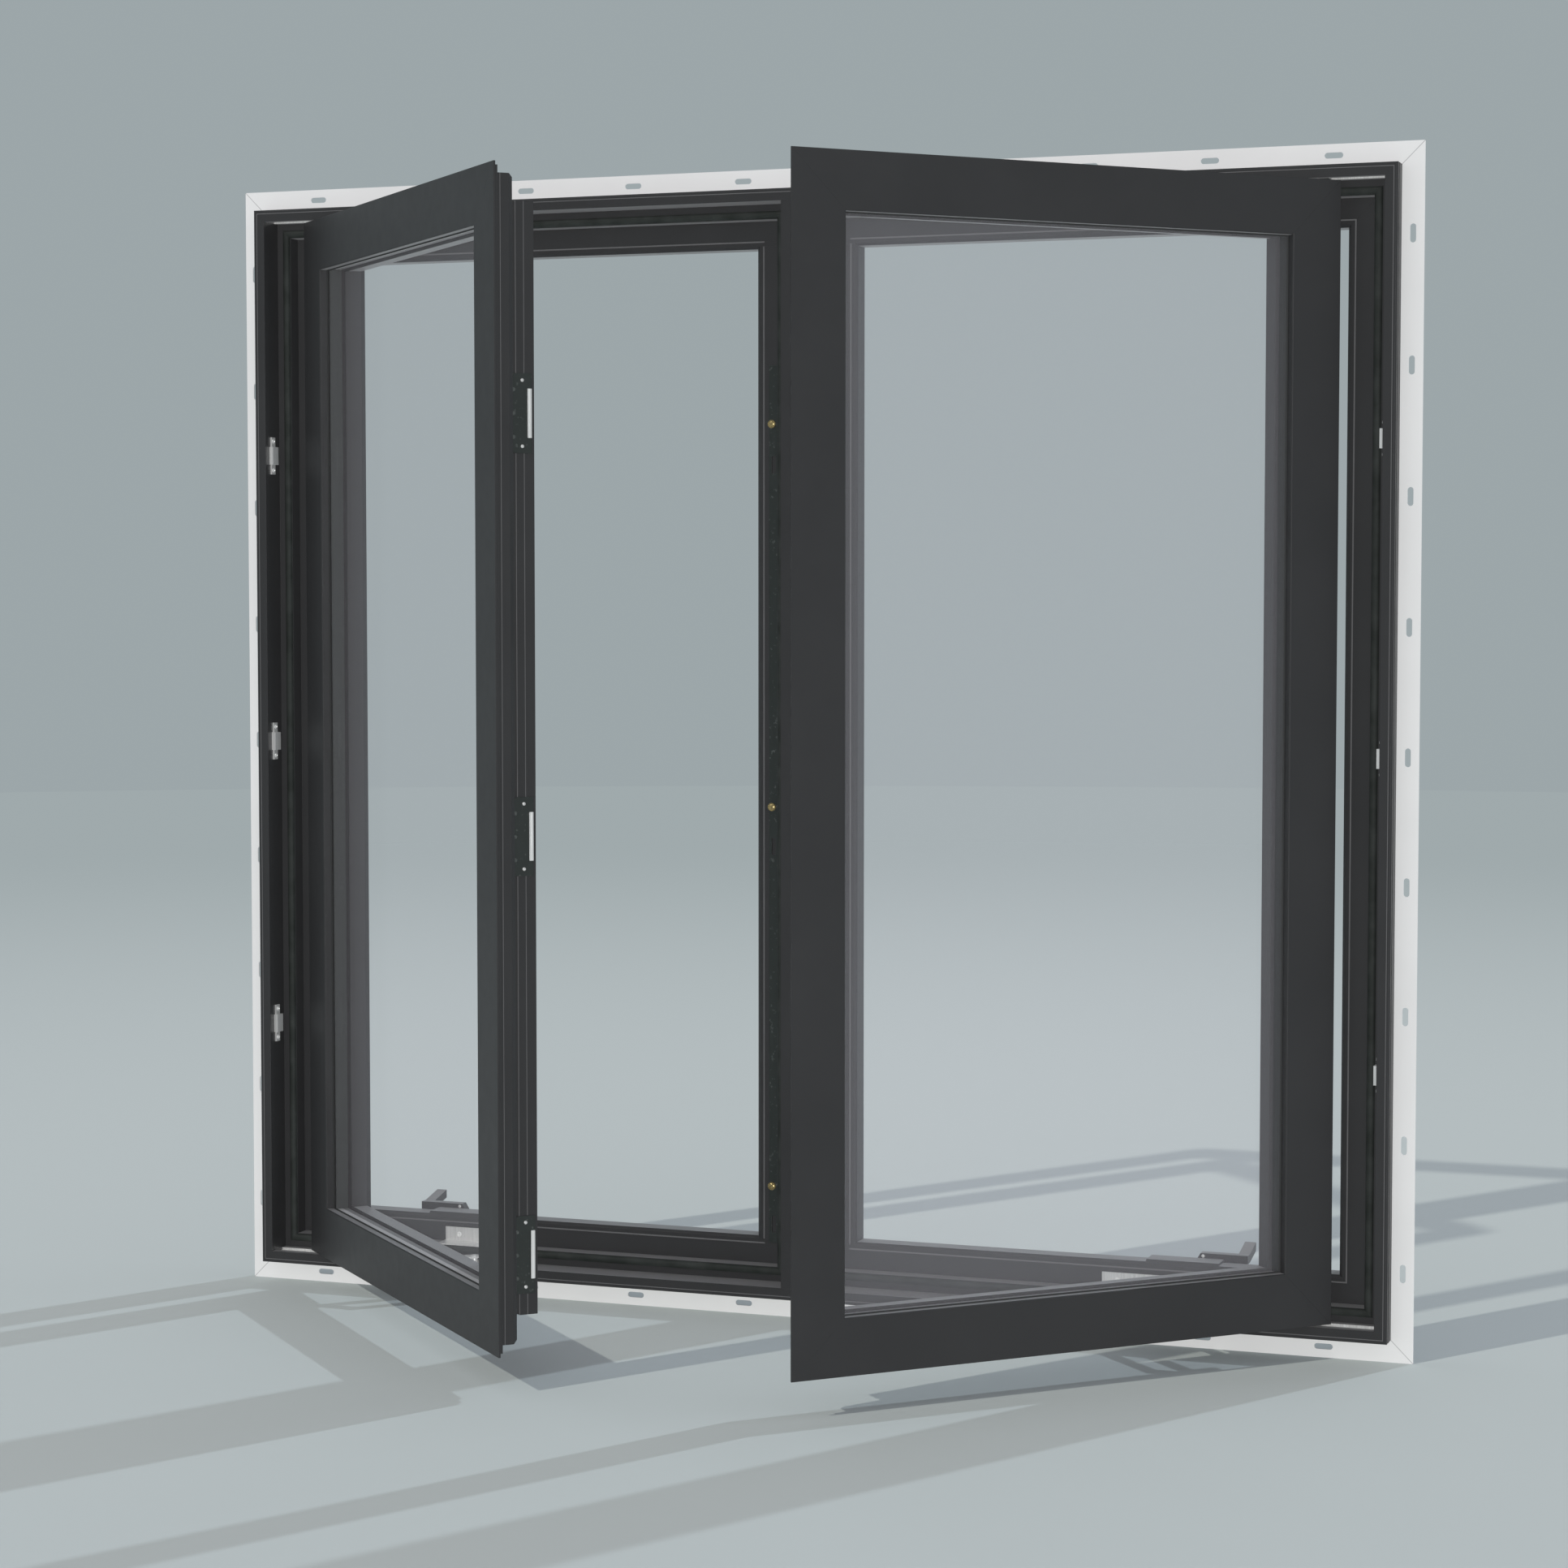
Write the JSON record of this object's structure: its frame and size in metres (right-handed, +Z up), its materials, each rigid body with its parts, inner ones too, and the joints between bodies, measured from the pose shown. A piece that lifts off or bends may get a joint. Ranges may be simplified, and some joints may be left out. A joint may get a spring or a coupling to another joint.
{
  "type": "double casement window",
  "caption": "Outward-opening double casement window: slim dark frame with a central mullion and nailing fins, double-glazed sashes on sliding-shoe hinges with crank operators.",
  "frame": {"origin": "middle of the sill fin's back face, the face that lies against the wall", "axes": "+X right seen from outside, +Y into the building, +Z up"},
  "size_m": [1.4688, 0.605, 1.3668],
  "materials": {
    "profile": "satin",
    "fin": "matte",
    "seal": "matte",
    "glass": "clear",
    "spacer": "matte",
    "steel": "brushed",
    "dark_steel": "satin",
    "shoe": "satin",
    "brass": "polished"
  },
  "bodies": {
    "frame": {"frame_head": "profile", "frame_sill": "profile", "frame_left_jamb": "profile", "frame_right_jamb": "profile", "mullion": "profile", "nail_fin_head": "fin", "nail_fin_sill": "fin", "nail_fin_left": "fin", "nail_fin_right": "fin", "frame_seals": "seal", "hinge_tracks": "steel", "operator_brackets": "steel", "operator_covers": "profile", "crank_handles": "profile", "hinge_snubbers": "steel", "lock_bars": "dark_steel", "lock_rollers": "brass"},
    "left_sash": {"left_top_rail": "profile", "left_bottom_rail": "profile", "left_hinge_stile": "profile", "left_lock_stile": "profile", "left_glass_panes": "glass", "left_glass_spacer": "spacer", "left_keepers": "dark_steel", "left_sash_arms": "steel"},
    "left_support_arms": {"left_support_arms": "steel"},
    "left_hinge_shoes": {"left_hinge_shoes": "shoe"},
    "left_drive_arm": {"left_drive_arm": "steel"},
    "left_drive_link": {"left_drive_link": "steel"},
    "right_sash": {"right_top_rail": "profile", "right_bottom_rail": "profile", "right_hinge_stile": "profile", "right_lock_stile": "profile", "right_glass_panes": "glass", "right_glass_spacer": "spacer", "right_keepers": "dark_steel", "right_sash_arms": "steel"},
    "right_support_arms": {"right_support_arms": "steel"},
    "right_hinge_shoes": {"right_hinge_shoes": "shoe"},
    "right_drive_arm": {"right_drive_arm": "steel"},
    "right_drive_link": {"right_drive_link": "steel"}
  },
  "joints": [
    {"name": "left_arm_swing", "type": "hinge", "parent": "frame", "child": "left_support_arms", "pos_m": [-0.467, -0.0108, 0.0271], "axis": [0, 0, 1], "range_deg": [-45, 30]},
    {"name": "left_sash_hinge", "type": "hinge", "parent": "left_support_arms", "child": "left_sash", "pos_m": [-0.54125, -0.08505, 0.0271], "axis": [0, 0, -1], "range_deg": [-90, 60]},
    {"name": "left_shoe_pivot", "type": "hinge", "parent": "left_sash", "child": "left_hinge_shoes", "pos_m": [-0.61549, -0.0108, 0.0271], "axis": [0, 0, 1], "range_deg": [-45, 30]},
    {"name": "left_drive_swing", "type": "hinge", "parent": "frame", "child": "left_drive_arm", "pos_m": [-0.423, -0.0108, 0.0271], "axis": [0, 0, 1], "range_deg": [-45, 30]},
    {"name": "left_link_pivot", "type": "hinge", "parent": "left_drive_arm", "child": "left_drive_link", "pos_m": [-0.49725, -0.08505, 0.0271], "axis": [0, 0, -1], "range_deg": [-45, 30]},
    {"name": "right_arm_swing", "type": "hinge", "parent": "frame", "child": "right_support_arms", "pos_m": [0.467, -0.0108, 0.0271], "axis": [0, 0, -1], "range_deg": [-45, 30]},
    {"name": "right_sash_hinge", "type": "hinge", "parent": "right_support_arms", "child": "right_sash", "pos_m": [0.54125, -0.08505, 0.0271], "axis": [0, 0, 1], "range_deg": [-90, 60]},
    {"name": "right_shoe_pivot", "type": "hinge", "parent": "right_sash", "child": "right_hinge_shoes", "pos_m": [0.61549, -0.0108, 0.0271], "axis": [0, 0, -1], "range_deg": [-45, 30]},
    {"name": "right_drive_swing", "type": "hinge", "parent": "frame", "child": "right_drive_arm", "pos_m": [0.423, -0.0108, 0.0271], "axis": [0, 0, -1], "range_deg": [-45, 30]},
    {"name": "right_link_pivot", "type": "hinge", "parent": "right_drive_arm", "child": "right_drive_link", "pos_m": [0.49725, -0.08505, 0.0271], "axis": [0, 0, 1], "range_deg": [-45, 30]}
  ],
  "couplings": [
    {"joint": "left_arm_swing", "follows": "left_sash_hinge", "ratio": 0.5},
    {"joint": "left_shoe_pivot", "follows": "left_sash_hinge", "ratio": 0.5},
    {"joint": "left_drive_swing", "follows": "left_sash_hinge", "ratio": 0.5},
    {"joint": "left_link_pivot", "follows": "left_sash_hinge", "ratio": 0.5},
    {"joint": "right_arm_swing", "follows": "right_sash_hinge", "ratio": 0.5},
    {"joint": "right_shoe_pivot", "follows": "right_sash_hinge", "ratio": 0.5},
    {"joint": "right_drive_swing", "follows": "right_sash_hinge", "ratio": 0.5},
    {"joint": "right_link_pivot", "follows": "right_sash_hinge", "ratio": 0.5}
  ]
}
